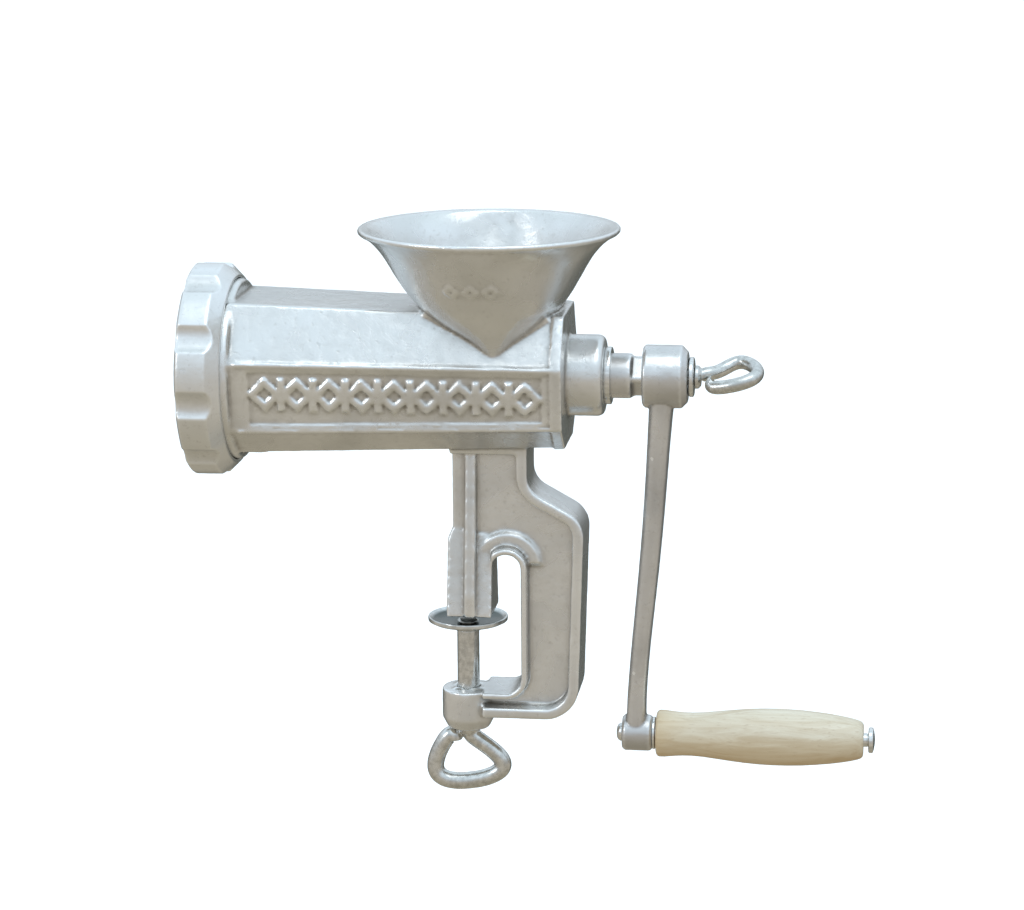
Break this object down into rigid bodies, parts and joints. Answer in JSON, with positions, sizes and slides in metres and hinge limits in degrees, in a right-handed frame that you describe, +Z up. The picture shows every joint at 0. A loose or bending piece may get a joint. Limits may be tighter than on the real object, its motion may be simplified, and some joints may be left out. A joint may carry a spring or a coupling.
{
  "type": "hand crank meat grinder",
  "caption": "Table-clamped meat grinder: tinned octagonal barrel with a funnel hopper, scalloped ring nut, auger turned by a bent crank with a turned wooden grip, and a screw clamp below.",
  "frame": {"origin": "centre of the upper clamp jaw's underside, where it sits on the table, on the clamp screw's axis", "axes": "+X along the auger axis towards the crank, +Z up towards the hopper, -Y towards the viewed side"},
  "size_m": [0.2915, 0.11, 0.2475],
  "materials": {
    "tinned_iron": "hot-tinned casting, slightly rough",
    "plated_steel": "bright plated bar",
    "tool_steel": "ground tool steel",
    "fibre": "red fibre washer",
    "beech": "clear varnish"
  },
  "bodies": {
    "frame": {"body_casting": "tinned_iron", "rear_bushing": "plated_steel", "plate_locating_pin": "tool_steel"},
    "crank": {"auger": "tinned_iron", "auger_stud": "plated_steel", "thrust_washer": "fibre", "cutting_knife": "tool_steel", "crank_arm": "tinned_iron", "handle_spindle": "plated_steel", "handle_inner_washer": "plated_steel"},
    "grip": {"handle_grip": "beech"},
    "plate": {"grinding_plate": "tool_steel"},
    "nut": {"ring_nut": "tinned_iron"},
    "washer": {"crank_washer": "plated_steel"},
    "thumb_screw": {"crank_thumb_screw": "plated_steel"},
    "pad": {"clamp_pad": "plated_steel"},
    "clamp": {"clamp_screw": "plated_steel"}
  },
  "joints": [
    {"name": "crank_spin", "type": "hinge", "parent": "frame", "child": "crank", "pos_m": [0, 0, 0.104], "axis": [1, 0, 0], "continuous": true},
    {"name": "grip_spin", "type": "hinge", "parent": "crank", "child": "grip", "pos_m": [0.125, 0, -0.0527], "axis": [1, 0, 0], "continuous": true},
    {"name": "plate_travel", "type": "slide", "parent": "frame", "child": "plate", "axis": [-1, 0, 0], "range_m": [0, 0.0105]},
    {"name": "nut_turn", "type": "hinge", "parent": "plate", "child": "nut", "pos_m": [-0.107, 0, 0.104], "axis": [-1, 0, 0], "range_deg": [0, 1262]},
    {"name": "thumb_travel", "type": "slide", "parent": "crank", "child": "washer", "axis": [1, 0, 0], "range_m": [0, 0.01]},
    {"name": "thumb_turn", "type": "hinge", "parent": "washer", "child": "thumb_screw", "pos_m": [0.1, 0, 0.104], "axis": [1, 0, 0], "range_deg": [0, 2883]},
    {"name": "clamp_travel", "type": "slide", "parent": "frame", "child": "pad", "axis": [0, 0, -1], "range_m": [0, 0.0225]},
    {"name": "clamp_turn", "type": "hinge", "parent": "pad", "child": "clamp", "pos_m": [0, 0, -0.03], "axis": [0, 0, -1], "range_deg": [0, 3243]}
  ],
  "couplings": [
    {"joint": "nut_turn", "follows": "plate_travel", "rad_per_m": 2094.4},
    {"joint": "thumb_turn", "follows": "thumb_travel", "rad_per_m": 5026.5},
    {"joint": "clamp_turn", "follows": "clamp_travel", "rad_per_m": 2513.3}
  ]
}
